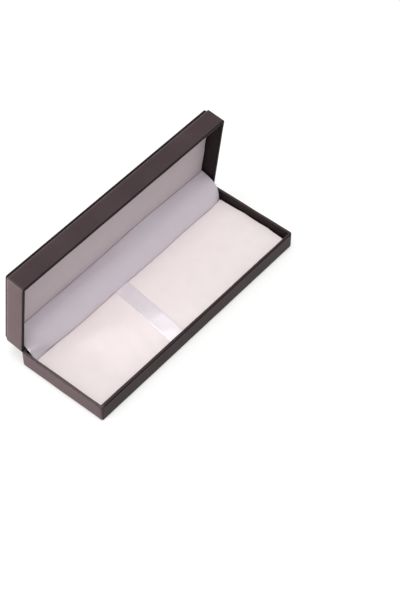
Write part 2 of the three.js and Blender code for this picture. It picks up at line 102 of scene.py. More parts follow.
# The packed pieces that the visible ones are fitted to
BASE_LOW, BASE_HIGH = span("base_leather")
LID_LOW, LID_HIGH = span("lid_leather")
PANEL_LOW, PANEL_HIGH = span("panel_leather")
PAD_LOW, PAD_HIGH = span("pad_cover")
LINER_LOW, LINER_HIGH = span("liner_cloth")
COVER_LOW, COVER_HIGH = span("hinge_cover")
RIBBON_LOW, RIBBON_HIGH = span("ribbon_strap")

# Build of the wrapped shells
WALL = 2.0
LEATHER = 0.35
TURN_IN = 7
CORNER_RADIUS = 1.6
LEAST_RADIUS = 0.15
BASE_EDGE_RADIUS = 1.5
LID_EDGE_RADIUS = 1.0
SPINE_RADIUS = 3.5
INNER_FILLET = 0.4
BEVEL_SLOPE = math.tan(OPEN_ANGLE / 2)
HINGE_ENDS = (-64.4, -39.6, 39.6, 64.4)
HINGE_ROOM = 7.7
LAP_SEAM = 1.85
LAP_HALF = 86.5
LAP_DEPTH = 0.9

# How the leather's colour is painted: above 0 paler, as rubbing and painted highlight; below 0 darker, as
# painted shade at the rims' edges, inside the walls and on the panel's skirt; the rims' top is a little
# darker
PAINTED_SHADE = -0.85
PLAIN = -0.12
INSIDE_SHADE = -0.6
EDGE_WEAR_AND_HIGHLIGHT = 0.4
PAINTED_RIM_HIGHLIGHT = 0.9

# Panel, seam and pad
PANEL_CORNER = 1.4
PANEL_EDGE = 0.8
PANEL_SKIRT = 1.55
LAP_SKIRT = 0.38
LAP_EDGE = 0.3
SEAM_INSET = 2.8
SEAM_PAST_SPINE = 1.55
PAD_CORNER = 1.3
PAD_EDGE = 1.1
PAD_CROWN = 0.7
PAD_EDGE_HEIGHT = PAD_HIGH[2] - PAD_CROWN
PAD_SIDE_TOP = PAD_EDGE_HEIGHT - PAD_EDGE
PAD_REACH = 18
RIBBON_THICKNESS = 0.1
RIBBON_LIFT = 0.07
RIBBON_ROOM = 0.3
RIBBON_BEND = PAD_EDGE + 0.15
LINER_CORNER = 1.2
LINER_EDGE = 0.5
COVER_THICKNESS = 0.4
SPINE_START = PANEL_HIGH[1] - SPINE_RADIUS - PANEL_LOW[1]
SPINE_ARC = SPINE_RADIUS * math.pi / 2
SEAM_HALF = PANEL_HIGH[0] - SEAM_INSET
SEAM_END = SPINE_START + SEAM_PAST_SPINE

# What the seam does to the panel's leather, as how far down and how wide: the groove that it lies in,
# the pull of a needle hole, the puckers between holes, and the swelling on both sides
SEAM_GROOVE = (0.16, 0.55)
SEAM_HOLE = (0.2, 0.65)
SEAM_PUCKERS = (0.05, 1.5)
SEAM_SWELLING = (0.07, 0.7)
HOLE_LENGTH = 0.75
SWELLING_AWAY = 1.35
SEAM_FADE = 0.5

# How edges stray in the photographed box: places along the edge, and how far it lies to the right or back
RIM_STRAY = ([-80, -25, 25, 80], [0.5, 0.2, -0.05, -0.2])
PAD_FRONT_STRAY = ([-70, -25, 25, 70], [0.85, 0.45, 0.0, -0.2])
STRAY_FADE = 6
PAD_RIGHT_STRAY = ([-28, -25, -19, -14, -8, -3, 4, 8, 12, 18, 24],
                   [-1.2, -0.85, -0.6, -0.05, -0.3, -0.1, 0.35, 0.0, -0.4, -0.5, -0.4])

# The curve of the hinge cover. Near its foot: distance behind the foot, share of the lean, whether it is
# drawn back at the box's ends, and height over the pins
COVER_FOOT = np.array([
    (0, 0, 0, -6.15), (0, -0.15, 1, -4.85), (0, -0.84, 1, -4.1), (0, -1, 1, -3.35), (0.3, -0.87, 1, -0.9),
    (2, -0.47, 0, 3), (4.8, -0.15, 0, 6.35)])
# Over the lining's lower edge: distance behind the pins, its share of the climb, height, and that one's share
COVER_TOP = np.array([
    (2, 0, 8.5, 0), (5.6, 0, 9.35, 0.45), (7.4, 0, 9.65, 1), (8, -0.12, 9.65, 0.85), (8.25, 0, 9.2, 0),
    (9.75, 0, 8.85, 0)])
# How far it climbs there, along the box, and its left end, pulled back into the hinge gap, as distances
# behind its foot and heights over the pins
COVER_CLIMB = ([-84.6, -75, -53, -20, 5, 26, 50, 80, 84.6], [0.9, 0.6, 0.2, 0.0, 1.2, 2.4, 1.0, 0.2, 0.9])
COVER_STEPS = 52
END_TUCK = np.array([
    (0.5, -4.7), (1.4, -3.6), (2.9, -2.0), (4.6, 0.1), (6.9, 1.3), (9.4, 2.9), (11.4, 5.2), (12.6, 7.7)])

# Sizes of patterns, in metres
LEATHER_DRIFT = 0.028
CLOTH_MOTTLE = 0.011
SATIN_FLOATS = 0.0003
SATIN_LINES = 0.004
THREAD_FUZZ = 0.0006

# The stage, in millimetres for the floor, and in metres for the camera that was fitted to the photograph
FLOOR_REACH = 3000.0
FLOOR_GLOW = 0.5
SIDE_LAMP_SHARE = 0.85
CAMERA_PLACE = (-0.479865, -0.436552, 0.799788)
CAMERA_AIM = (0.011437, -0.021271, 0.010)
LENS = 101.845

# How finely meshes are divided
CORNER_STEPS = 8
ARC_STEPS = 5
ROW_STEP = 1.1
LONG_STEPS = 88
SHORT_STEPS = 32


# Values that a user would change

def length(name, text, millimetres):
    return bpy.props.FloatProperty(
        name=name, description=text, default=millimetres * MM, unit="LENGTH", precision=5)


def colour(name, text, code):
    return bpy.props.FloatVectorProperty(
        name=name, description=text, default=linear(code), subtype="COLOR", size=3, min=0, max=1)


def share(name, text, value):
    return bpy.props.FloatProperty(
        name=name, description=text, default=value, subtype="FACTOR", min=0, max=1)


def angle(name, text, degrees):
    return bpy.props.FloatProperty(
        name=name, description=text, default=math.radians(degrees), subtype="ANGLE")


class PenBoxLeather(bpy.types.PropertyGroup):
    """Leatherette of both shells and the panel"""
    skin: colour("Skin", "Colour of the leatherette", "#45393b")
    # Pale colour mixed in where edges are rubbed and where a highlight is painted; it also tints the sheen
    rubbed_and_highlit: colour("Rubbed", "Colour where the rim is rubbed", "#776c6a")
    roughness: share("Roughness", "How matt the skin is", 0.46)
    grain: length("Grain", "Size of a grain of the embossing", 0.7)
    rim: length("Rim Radius", "Rounding of the leather over the rims", 0.5)
    uneven: length("Unevenness", "How far the glued skin strays from flat", 0.05)


class PenBoxStitching(bpy.types.PropertyGroup):
    """Running stitch round three sides of the lid's panel"""
    thread: colour("Thread", "Colour of the thread", "#ece4e2")
    pitch: length("Pitch", "Distance between needle holes", 5.2)
    stitch: length("Stitch", "Length of thread that shows of each stitch", 4.55)
    thickness: length("Thickness", "Thickness of the thread", 0.56)
    lean: angle("Lean", "How far stitches lean across the seam", 2.5)
    seed: bpy.props.IntProperty(name="Seed", description="Picks the lean of each stitch", default=7)


class PenBoxLining(bpy.types.PropertyGroup):
    """Cloth pieces inside the box"""
    pad: colour("Pad", "Colour of the padded insert", "#f4e9e9")
    # The lining's lilac grey, set darker than the pad's cloth partly as painted shade
    liner: colour("Liner", "Colour of the lid's lining", "#d5c8cd")
    cover: colour("Hinge Cover", "Colour of the cover over the hinges", "#d9cfd8")
    weave: length("Weave", "Distance between threads of the cloth", 0.45)
    crown: length("Crown", "How far the pad swells in its middle", 0.5)
    bulge: length("Bulge", "How far the hinge cover leans over the pad", 2.0)


class PenBoxRibbon(bpy.types.PropertyGroup):
    """Satin ribbon across the insert"""
    satin: colour("Satin", "Colour of the ribbon", "#f7f0f5")
    width: length("Width", "Width of the ribbon", 10.8)
    middle: length("Middle", "Place of the ribbon's middle along the box", -13.3)
    skew: angle("Skew", "How far the ribbon is askew", 7.9)


class PenBoxStage(bpy.types.PropertyGroup):
    """Floor, light and camera"""
    floor: colour("Floor", "Colour of the floor", "#c3c3c2")
    sky: share("Sky", "Strength of the even light from all round", 0.5)
    lamp: bpy.props.FloatProperty(name="Lamp", description="Power of the large lamp in watts", default=6.5)


GROUPS = {
    "pen_box_leather": PenBoxLeather,
    "pen_box_stitching": PenBoxStitching,
    "pen_box_lining": PenBoxLining,
    "pen_box_ribbon": PenBoxRibbon,
    "pen_box_stage": PenBoxStage,
}


# Meshes

def build(name, points, faces, flat=None, rub=None):
    """A smooth mesh object from points in millimetres. flat holds each point's place on the uncut sheet."""
    mesh = bpy.data.meshes.new(name)
    mesh.from_pydata((np.asarray(points, float) * MM).tolist(), [], [tuple(map(int, f)) for f in faces])
    mesh.shade_smooth()
    if rub is not None:
        # The leather's painted tone at each point: above 0 paler, as rubbing and painted highlight, below 0
        # darker, as painted shade
        mesh.attributes.new("rub", "FLOAT", "POINT").data.foreach_set("value", np.asarray(rub, np.float32))
    if flat is not None:
        corner = np.zeros(len(mesh.loops), np.int32)
        mesh.loops.foreach_get("vertex_index", corner)
        layer = mesh.uv_layers.new(name="Sheet")
        layer.data.foreach_set("uv", (np.asarray(flat, float) * MM)[corner].astype(np.float32).ravel())
    mesh.update()
    piece = bpy.data.objects.new(name, mesh)
    bpy.context.scene.collection.objects.link(piece)
    return piece


def settle(piece):
    """Makes the piece's modifiers part of its mesh."""
    bpy.context.view_layer.update()
    seen = piece.evaluated_get(bpy.context.evaluated_depsgraph_get())
    mesh = bpy.data.meshes.new_from_object(seen)
    piece.modifiers.clear()
    piece.data = mesh
    mesh.name = piece.name
    return piece


def places(piece):
    """The piece's points in millimetres."""
    found = np.zeros(len(piece.data.vertices) * 3, np.float32)
    piece.data.vertices.foreach_get("co", found)
    return found.reshape(-1, 3).astype(float) / MM


def move(piece, points):
    """Puts the piece's points at places in millimetres."""
    piece.data.vertices.foreach_set("co", (points * MM).astype(np.float32).ravel())
    piece.data.update()


def push(piece, heights):
    """Moves each point of a piece along its normal by a height in millimetres."""
    normals = np.zeros(len(piece.data.vertices) * 3, np.float32)
    piece.data.vertex_normals.foreach_get("vector", normals)
    move(piece, places(piece) + normals.reshape(-1, 3) * np.asarray(heights)[:, None])


def subdivide(piece):
    finer = piece.modifiers.new("Subdivision", "SUBSURF")
    finer.levels = finer.render_levels = 1
    return settle(piece)


def ripple(points, amount, wave, seed):
    """A smooth random height at each point, from six waves of about that length."""
    draw = np.random.default_rng(seed)
    total = np.zeros(len(points))
    for _ in range(6):
        heading = draw.normal(size=3)
        heading *= 2 * math.pi / (np.linalg.norm(heading) * wave * draw.uniform(0.6, 1.6))
        total += np.sin(points @ heading + draw.uniform(0, 2 * math.pi))
    return amount * total / math.sqrt(6)


def thicken(piece, thickness, side=-1):
    """Gives a sheet its thickness, behind the face that shows, or before it where side is 1."""
    solid = piece.modifiers.new("Thickness", "SOLIDIFY")
    solid.thickness = thickness * MM
    solid.offset = side
    solid.use_even_offset = False
    return settle(piece)


def quads(rows, closed=False):
    """Faces between neighbouring rows of point numbers. closed joins each row's end to its start."""
    faces = []
    for low, high in zip(rows, rows[1:]):
        count = len(low)
        for at in range(count if closed else count - 1):
            after = (at + 1) % count
            faces.append((low[at], low[after], high[after], high[at]))
    return faces


def graded(low, high, insets, step):
    """Places from low to high, fine at both ends as insets say and about a step apart between them."""
    insets = np.array(insets)
    middle = np.linspace(low + insets[-1], high - insets[-1], round((high - low - 2 * insets[-1]) / step) + 1)
    return np.concatenate([low + insets[:-1], middle, (high - insets[:-1])[::-1]])


def rounded(x, v, corner, all_corners):
    """Draws the corner squares of a grid onto arcs. Also gives every point's distance from the edge."""
    left, right, front, back = x.min(), x.max(), v.min(), v.max()
    inset = np.minimum(np.minimum(x - left, right - x), v - front)
    if all_corners:
        inset = np.minimum(inset, back - v)
    x, v = x.copy(), v.copy()
    for side, end in ((-1, -1), (1, -1), (-1, 1), (1, 1))[:4 if all_corners else 2]:
        across = x - left if side < 0 else right - x
        along = v - front if end < 0 else back - v
        inside = (across < corner) & (along < corner)
        reach = corner - np.minimum(across, along)[inside]
        a, b = across[inside], along[inside]
        lean = np.where(a <= b, (corner - b) / reach / 2, 1 - (corner - a) / reach / 2) * math.pi / 2
        a, b = corner - reach * np.cos(lean), corner - reach * np.sin(lean)
        x[inside] = left + a if side < 0 else right - a
        v[inside] = front + b if end < 0 else back - b
    return x, v, inset


def stray(x, v, inset, fade, amount, wave, seed):
    """A smooth random height over a sheet, which fades out toward its edge."""
    flat = np.column_stack([x.ravel(), v.ravel(), np.zeros(x.size)])
    return ripple(flat, amount, wave, seed).reshape(x.shape) * np.clip(inset / fade, 0, 1)


def slab(xs, vs, corner, all_corners, height, skirt, skirt_rows):
    """A soft sheet over a board, laid out flat, as points (x, v, height) and faces.
    It is closed underneath where all its corners are rounded, and runs on at the back otherwise."""
    x, v = np.meshgrid(xs, vs)
    x, v, inset = rounded(x, v, corner, all_corners)
    top = np.stack([x, v, height(x, v, inset)], -1).reshape(-1, 3)
    numbers = np.arange(x.size).reshape(x.shape)
    faces = quads(numbers)
    sides = [numbers[::-1, 0], numbers[0, 1:], numbers[1:, -1]]
    if all_corners:
        sides.append(numbers[-1, -2:0:-1])
    edge = np.concatenate(sides)
    points, upper = [top], edge
    for part in skirt_rows:
        row = top[edge].copy()
        row[:, 2] = skirt(row[:, 1], part)
        lower = sum(map(len, points)) + np.arange(len(edge))
        points.append(row)
        faces += quads([lower, upper], all_corners)
        upper = lower
    if all_corners:
        under = top.copy()
        under[:, 2] = skirt(under[:, 1], 1)
        start = sum(map(len, points))
        points.append(under)
        faces += quads([start + edge, upper], True) + quads(start + numbers[::-1])
    return np.vstack(points), faces


def edge_drop(inset, radius):
    """How far a rounded edge lies below the face, at a distance in from the edge."""
    short = np.clip(radius - inset, 0, radius)
    return radius - np.sqrt(radius ** 2 - short ** 2)


def turn(inset, z, radius, start, end, rub=(0, 0)):
    """An arc of a wall's profile as (inset, z, tone). 0 degrees points out of the box and 90 up.
    The last argument gives how the skin's colour is painted at the arc's start and end: above 0 pale, as
    rubbing and painted highlight, and below 0 dark, as painted shade."""
    angles = np.radians(np.linspace(start, end, ARC_STEPS + 1))
    return np.column_stack([
        inset - radius * np.cos(angles), z + radius * np.sin(angles), np.linspace(*rub, ARC_STEPS + 1)])


def trace(*parts):
    """Joins the strokes of a profile, and divides what is longer than a row step."""
    points = np.vstack(parts)
    rows = [points[0]]
    for a, b in zip(points, points[1:]):
        count = max(1, math.ceil(math.hypot(*(b - a)[:2]) / ROW_STEP))
        rows += [a + (b - a) * at / count for at in range(1, count + 1)]
    return np.array(rows)


def ring(low, high, inset):
    """The plan of a shell drawn in by inset, anticlockwise from its back right corner."""
    radius = max(CORNER_RADIUS - inset, LEAST_RADIUS)
    left, right = low[0] + inset + radius, high[0] - inset - radius
    front, back = low[1] + inset + radius, high[1] - inset - radius
    arcs = []
    for quarter, (x, y) in enumerate(((right, back), (left, back), (left, front), (right, front))):
        angles = (quarter + np.linspace(0, 1, CORNER_STEPS + 1)) * math.pi / 2
        arcs.append(np.column_stack([x + radius * np.cos(angles), y + radius * np.sin(angles)]))
    points = []
    for quarter, arc in enumerate(arcs):
        start, end = arc[-1], arcs[(quarter + 1) % 4][0]
        shares = np.linspace(0, 1, (LONG_STEPS, SHORT_STEPS)[quarter % 2] + 1)[1:-1]
        if quarter % 2 == 0:
            hinges = (np.array(HINGE_ENDS) - start[0]) / (end[0] - start[0])
            shares = np.sort(np.concatenate([shares, hinges]))
        points += [arc, start + np.outer(shares, end - start)]
    return np.vstack(points)


def wrap(name, low, high, profile, bend, gone, seed, painted_highlight=None):
    """One sheet of leather over a shell. bend shapes its points, gone says where it is cut away,
    and the last argument how much paler its points are painted than the profile says, as painted highlight."""
    rings = [ring(low, high, inset) for inset, _, _ in profile]
    count = len(rings[0])
    points = np.vstack([np.column_stack([r, np.full(count, z)]) for r, (_, z, _) in zip(rings, profile)])
    points = bend(points)
    rub = np.repeat(profile[:, 2], count)
    if painted_highlight:
        rub += painted_highlight(points)
    numbers = np.arange(len(points)).reshape(len(profile), count)
    faces = np.array(quads(numbers, True))
    faces = faces[~gone(points[faces].mean(1))]
    used, kept = np.unique(faces, return_inverse=True)
    piece = build(name, points[used], kept.reshape(-1, 4), rub=rub[used])
    uneven = bpy.context.scene.pen_box_leather.uneven / MM
    push(piece, ripple(points[used], amount=uneven, wave=22, seed=seed))
    return thicken(piece, LEATHER)


def behind_hinges(middles):
    """Whether a point is in the length of one of the hinges."""
    x = middles[:, 0]
    return np.any([(x > a) & (x < b) for a, b in zip(HINGE_ENDS[::2], HINGE_ENDS[1::2])], axis=0)


def dress(piece, body, slot, finish, *nodes):
    """Gives a finished piece its material, its body and the CAD nodes that it stands for. Its slot is not
    used.
    """
    piece.data.materials.clear()
    piece.data.materials.append(finish)
    if nodes:
        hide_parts(*nodes)
    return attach(piece, body) if body else piece


# Materials

def add(tree, kind, values=None):
    """One node. Each value is a setting of the node, what a socket holds, or the socket that feeds it."""
    node = tree.nodes.new(kind)
    for key, value in (values or {}).items():
        if isinstance(value, bpy.types.NodeSocket):
            tree.links.new(value, node.inputs[key])
        elif isinstance(key, str) and hasattr(node, key):
            setattr(node, key, value)
        else:
            node.inputs[key].default_value = value
    return node


def maths(tree, operation, first, second=0.0):
    return add(tree, "ShaderNodeMath", {"operation": operation, 0: first, 1: second}).outputs[0]


def mixed(tree, share_of, low, high, how="MIX"):
    """A colour between two."""
    return add(tree, "ShaderNodeMix", {
        "data_type": "RGBA", "blend_type": how, 0: share_of, 6: low, 7: high}).outputs[2]


def ranged(tree, value, low, high, start=0.0, end=1.0):
    """A value that runs from start to end, made to run from low to high."""
    return add(tree, "ShaderNodeMapRange", {
        "From Min": start, "From Max": end, "To Min": low, "To Max": high, "Value": value}).outputs["Result"]


def noise(tree, place, size, detail):
    """Patches of about a size in metres."""
    return add(tree, "ShaderNodeTexNoise", {
        "Scale": 1 / size, "Detail": detail, "Vector": place}).outputs["Fac"]


def threads(tree, sheet, way, gap, settings):
    """Waves across a sheet, as far apart as its threads."""
    return add(tree, "ShaderNodeTexWave", {
        "bands_direction": way, "Scale": 0.5 / gap / math.pi, "Vector": sheet, **settings}).outputs["Fac"]


def bumps(tree, height, strength, depth, under=None):
    """Normals of a bumpy face. depth is in metres, and under are the normals that the bumps lie on."""
    values = {"Strength": strength, "Distance": depth, "Height": height}
    if under:
        values["Normal"] = under
    return add(tree, "ShaderNodeBump", values).outputs["Normal"]


def finish_of(name, settings):
    """A new material, with its tree and where a point lies on its object and on its sheet."""
    made = bpy.data.materials.new(name)
    made.use_nodes = True
    tree = made.node_tree
    for key, value in settings.items():
        tree.nodes["Principled BSDF"].inputs[key].default_value = value
    place = add(tree, "ShaderNodeTexCoord").outputs
    return made, tree, place["Object"], place["UV"]


def fed(made, sockets):
    """Feeds a material's shader and gives the material back."""
    tree = made.node_tree
    for key, socket in sockets.items():
        tree.links.new(socket, tree.nodes["Principled BSDF"].inputs[key])
    return made


def tinted(code, share_of):
    """A linear colour made lighter or darker, with full opacity."""
    return (*[min(1.0, c * share_of) for c in code], 1.0)


def leatherette():
    """Polyurethane skin on cloth, embossed between rollers with a fine grain. The eye sees a broad soft
    highlight broken by pinpoint cells and slow changes of depth. Its colour is painted paler at rubbed edges
    and as painted highlight, and darker as painted shade at the rims' edges, inside the walls and on the
    panel's skirt."""
    known = bpy.data.materials.get("Embossed leatherette")
    if known:
        return known
    values = bpy.context.scene.pen_box_leather
    made, tree, place, _ = finish_of("Embossed leatherette", {
        "IOR": 1.5, "Specular IOR Level": 0.07, "Sheen Weight": 0.03, "Sheen Roughness": 0.45,
        "Sheen Tint": tinted(values.rubbed_and_highlit, 1.3)})
    cells = add(tree, "ShaderNodeTexVoronoi", {
        "feature": "DISTANCE_TO_EDGE", "Scale": 1 / values.grain, "Vector": place}).outputs["Distance"]
    pores = noise(tree, place, values.grain / 0.6, 4.0)
    drift = noise(tree, place, LEATHER_DRIFT, 2.0)
    # Below 0 the attribute darkens the skin, which is painted shade at the rims' edges, inside the walls and
    # on the panel's skirt; above 0 it mixes in the pale colour, as rubbing and painted highlight
    rub = add(tree, "ShaderNodeAttribute", {"attribute_name": "rub"}).outputs["Fac"]
    slow = ranged(tree, drift, 0.0, 1.0, start=0.3, end=0.7)
    skin = mixed(tree, slow, tinted(values.skin, 0.86), tinted(values.skin, 1.14))
    speckle = ranged(tree, pores, 0.0, 0.22, start=0.35, end=0.75)
    fine = mixed(tree, speckle, skin, tinted(values.skin, 1.6))
    with_painted_shade = mixed(tree, 1.0, fine, ranged(tree, rub, 0.12, 1.0, start=-1.0, end=0.0), "MULTIPLY")
    patchy = maths(tree, "MULTIPLY", rub, pores)
    return fed(made, {
        "Base Color": mixed(tree, patchy, with_painted_shade, tinted(values.rubbed_and_highlit, 1)),
        "Roughness": ranged(tree, pores, values.roughness - 0.06, values.roughness + 0.08),
        "Normal": bumps(tree, cells, strength=0.5, depth=0.00006,
                        under=bumps(tree, pores, strength=0.35, depth=0.00012))})


def lining_cloth(name, code, roughness, sheen):
    """Plain woven cloth glued over foam or card. The eye sees a matt, even face with a faint grid of
    threads and slow mottling. The real threads are finer, and are drawn as coarse as they need to show."""
    made, tree, _, sheet = finish_of(name, {
        "Roughness": roughness, "IOR": 1.45, "Sheen Weight": sheen, "Sheen Roughness": 0.4})
    warp, weft = (
        threads(tree, sheet, way, bpy.context.scene.pen_box_lining.weave,
                {"Distortion": 0.6, "Detail": 1.0, "Detail Scale": 2.0}) for way in "XY")
    grid = maths(tree, "MULTIPLY", warp, weft)
    tone = mixed(tree, noise(tree, sheet, CLOTH_MOTTLE, 3.0), tinted(code, 0.95), tinted(code, 1.04))
    woven = mixed(tree, grid, tone, tinted(code, 0.9))
    return fed(made, {
        "Base Color": mixed(tree, 0.35, tone, woven),
        "Normal": bumps(tree, grid, strength=0.25, depth=0.00008)})


def satin(code):
    """Satin-woven polyester ribbon. Its long floats lie side by side along it, so the eye sees fine lines
    and a smooth gloss that mirrors in part what is bright or dark beyond it."""
    made, tree, _, sheet = finish_of("Satin weave ribbon", {
        "IOR": 1.54, "Metallic": 0.4, "Roughness": 0.36, "Sheen Weight": 0.1, "Sheen Roughness": 0.3})
    floats = threads(tree, sheet, "X", SATIN_FLOATS, {"Distortion": 1.5, "Detail": 2.0})
    tone = mixed(tree, noise(tree, sheet, SATIN_LINES, 2.0), tinted(code, 0.93), tinted(code, 1.03))
    return fed(made, {"Base Color": tone, "Normal": bumps(tree, floats, strength=0.15, depth=0.00004)})


def thread(code):
    """Three-ply polyester sewing thread, spun and waxed. The eye sees a pale cord with dark gaps in
    its twist."""
    made, tree, place, _ = finish_of("Spun sewing thread", {
        "IOR": 1.5, "Roughness": 0.6, "Sheen Weight": 0.25, "Sheen Roughness": 0.4})
    fuzz = noise(tree, place, THREAD_FUZZ, 3.0)
    tone = mixed(tree, fuzz, tinted(code, 0.86), tinted(code, 1.06))
    return fed(made, {"Base Color": tone, "Normal": bumps(tree, fuzz, strength=0.3, depth=0.00006)})


def plated_steel():
    """Stamped steel sheet, nickel plated. The eye sees a bright metal with short drawn lines and dull
    patches."""
    made, tree, place, _ = finish_of("Nickel plated steel", {"Metallic": 1.0})
    drawn = add(tree, "ShaderNodeMapping", {"Scale": (120, 2500, 2500), "Vector": place}).outputs["Vector"]
    lines = noise(tree, drawn, 1.0, 2.0)
    tone = mixed(tree, lines, tinted(linear("#9c9a98"), 1), tinted(linear("#cfccc8"), 1))
    return fed(made, {"Base Color": tone, "Roughness": ranged(tree, lines, 0.22, 0.42)})


def raw_board(name, dark, light, fleck):
    """Pressed or moulded inner stuff, bare inside the covering. The eye sees a matt face with flecks."""
    made, tree, place, _ = finish_of(name, {"Roughness": 0.9, "IOR": 1.45})
    flecks = noise(tree, place, fleck, 4.0)
    tone = mixed(tree, flecks, tinted(linear(dark), 1), tinted(linear(light), 1))
    return fed(made, {"Base Color": tone, "Normal": bumps(tree, flecks, strength=0.3, depth=0.0001)})


# Pieces

class PENBOX_OT_base_wrap(bpy.types.Operator):
    """Leatherette drawn over the base, over its rim and down inside its walls"""
    bl_idname = "penbox.base_wrap"
    bl_label = "Base Wrap"

    def execute(self, context):
        rim, low, high = context.scene.pen_box_leather.rim / MM, BASE_LOW, BASE_HIGH
        floor = low[2] + WALL
        # The last value of each profile point is its painted tone: a little paler under the rim, and dark at
        # the rim's edges and down inside, which is painted shade
        profile = trace(
            [(WALL + TURN_IN, low[2], 0)],
            turn(BASE_EDGE_RADIUS, low[2] + BASE_EDGE_RADIUS, BASE_EDGE_RADIUS, -90, 0),
            [(0, AXIS[2] - HINGE_ROOM, 0), (0, high[2] - 2 * rim, 0)],
            [(0, high[2] - 1.6 * rim, 0.1)],
            turn(rim, high[2] - rim, rim, 0, 90, (PAINTED_SHADE, PAINTED_SHADE)),
            [(1.4 * rim, high[2], PLAIN)],
            turn(WALL - rim, high[2] - rim, rim, 90, 180, (PLAIN, PAINTED_SHADE)),
            [(WALL, high[2] - 2 * rim, INSIDE_SHADE), (WALL, AXIS[2] - HINGE_ROOM, INSIDE_SHADE)],
            turn(WALL + INNER_FILLET, floor + INNER_FILLET, INNER_FILLET, 0, -90, (INSIDE_SHADE, INSIDE_SHADE)),
            [(WALL + TURN_IN, floor, INSIDE_SHADE)])

        def bend(points):
            past = np.maximum(points[:, 1] - AXIS[1], 0)
            points[:, 2] = np.minimum(points[:, 2], high[2] - past * BEVEL_SLOPE)
            behind = points[:, 1] - low[1] - rim
            inner = np.clip(behind / (WALL - rim), 0, 1) * (behind < WALL) * (points[:, 2] > floor + 1)
            points[:, 1] += inner * np.interp(points[:, 0], *RIM_STRAY)
            return points

        def gone(middles):
            inner = (middles[:, 1] > high[1] - WALL - rim) & (middles[:, 1] < high[1] - LEATHER)
            return behind_hinges(middles) & inner & (middles[:, 2] > AXIS[2] - HINGE_ROOM)

        # Painted highlight: the left rim, on the side that the side lamp lights, is painted pale
        def painted_highlight(points):
            x, _, z = points.T
            return PAINTED_RIM_HIGHLIGHT * ((x < low[0] + WALL - rim / 2) & (z > high[2] - 0.9 * rim))

        piece = wrap("base_wrap", low, high, profile, bend, gone, seed=11, painted_highlight=painted_highlight)
        dress(piece, "base", "dark_leather", leatherette(), "base_leather")
        return {"FINISHED"}


class PENBOX_OT_lid_wrap(bpy.types.Operator):
    """Leatherette drawn over the lid's walls, over its rim and up inside"""
    bl_idname = "penbox.lid_wrap"
    bl_label = "Lid Wrap"

    def execute(self, context):
        rim, low, high = context.scene.pen_box_leather.rim / MM, LID_LOW, LID_HIGH
        ceiling = high[2] - WALL
        # The last value of each profile point is its painted tone: dark inside and at the rim's edges, which
        # is painted shade, and pale at the top edge, as rubbing and painted highlight
        profile = trace(
            [(WALL + TURN_IN, ceiling, INSIDE_SHADE)],
            turn(WALL + INNER_FILLET, ceiling - INNER_FILLET, INNER_FILLET, 90, 0, (INSIDE_SHADE, INSIDE_SHADE)),
            [(WALL, AXIS[2] + HINGE_ROOM, INSIDE_SHADE), (WALL, low[2] + 2 * rim, INSIDE_SHADE)],
            turn(WALL - rim, low[2] + rim, rim, 180, 270, (PAINTED_SHADE, PAINTED_SHADE)),
            turn(rim, low[2] + rim, rim, -90, 0, (PAINTED_SHADE, PAINTED_SHADE)),
            [(0, low[2] + 1.4 * rim, 0), (0, low[2] + LAP_SEAM, 0), (0, high[2] - 1.8 * LID_EDGE_RADIUS, 0)],
            turn(LID_EDGE_RADIUS, high[2] - LID_EDGE_RADIUS, LID_EDGE_RADIUS, 0, 90, (EDGE_WEAR_AND_HIGHLIGHT, 0)),
            [(WALL + TURN_IN, high[2], 0)])

        def bend(points):
            past = np.maximum(points[:, 1] - AXIS[1], 0)
            points[:, 2] = np.maximum(points[:, 2], low[2] + past * BEVEL_SLOPE)
            return round_spine(points)

        def gone(middles):
            x, y, z = middles.T
            inner = (y > high[1] - WALL - rim) & (y < high[1] - LEATHER) & (z < AXIS[2] + HINGE_ROOM)
            lap = (np.abs(x) < LAP_HALF) & (y > high[1] - LAP_DEPTH) & (z > low[2] + LAP_SEAM)
            return (behind_hinges(middles) & inner) | lap

        piece = wrap("lid_wrap", low, high, profile, bend, gone, seed=12)
        piece.data.transform(TURN_OPEN)
        dress(piece, "lid", "dark_leather", leatherette(), "lid_leather")
        return {"FINISHED"}


def round_spine(points):
    """Draws the lid's upper back edge onto the spine's arc."""
    centre = np.array([PANEL_HIGH[1], PANEL_HIGH[2]]) - SPINE_RADIUS
    away = points[:, 1:] - centre
    far = np.linalg.norm(away, axis=1)
    out = (away.min(1) > 0) & (far > SPINE_RADIUS)
    points[out, 1:] = centre + away[out] * (SPINE_RADIUS / far[out])[:, None]
    return points


def over_spine(flat):
    """Lays points (x, v, height) over the lid: along its top, round the spine and down its back."""
    x, v, height = flat.T
    lean = np.clip((v - SPINE_START) / SPINE_RADIUS, 0, math.pi / 2)
    down = np.maximum(v - SPINE_START - SPINE_ARC, 0)
    reach = SPINE_RADIUS + height
    y = PANEL_LOW[1] + np.minimum(v, SPINE_START) + reach * np.sin(lean)
    z = PANEL_HIGH[2] - SPINE_RADIUS + reach * np.cos(lean) - down
    return np.column_stack([x, y, z])


def bell(distance, width):
    """1 at no distance, and near 0 from twice the width on."""
    return np.exp(-(distance / width) ** 2)


def dent(across, depth_and_width):
    depth, width = depth_and_width
    return depth * bell(across, width)


def seam_dip(x, v, pitch):
    """How far the seam draws the panel's leather down: a groove, deeper at each needle hole."""
    sides = (np.abs(x) - SEAM_HALF, v, SEAM_INSET, SEAM_END)
    front = (SEAM_INSET - v, x, -SEAM_HALF, SEAM_HALF)
    legs = []
    for across, along, least, most in (sides, front):
        holes = round((most - least) / pitch)
        step = (most - least) / holes
        from_hole = (along - least) - np.round((along - least) / step) * step
        past = np.maximum(np.maximum(least - along, along - most), 0)
        hole = dent(across, SEAM_HOLE) * bell(from_hole, HOLE_LENGTH)
        puckers = dent(across, SEAM_PUCKERS) * np.cos(2 * math.pi * (along - least) / step)
        swelling = dent(np.abs(across) - SWELLING_AWAY, SEAM_SWELLING)
        legs.append(bell(past, SEAM_FADE) * (dent(across, SEAM_GROOVE) + hole + puckers - swelling))
    return np.where(np.abs(legs[0]) > np.abs(legs[1]), legs[0], legs[1])


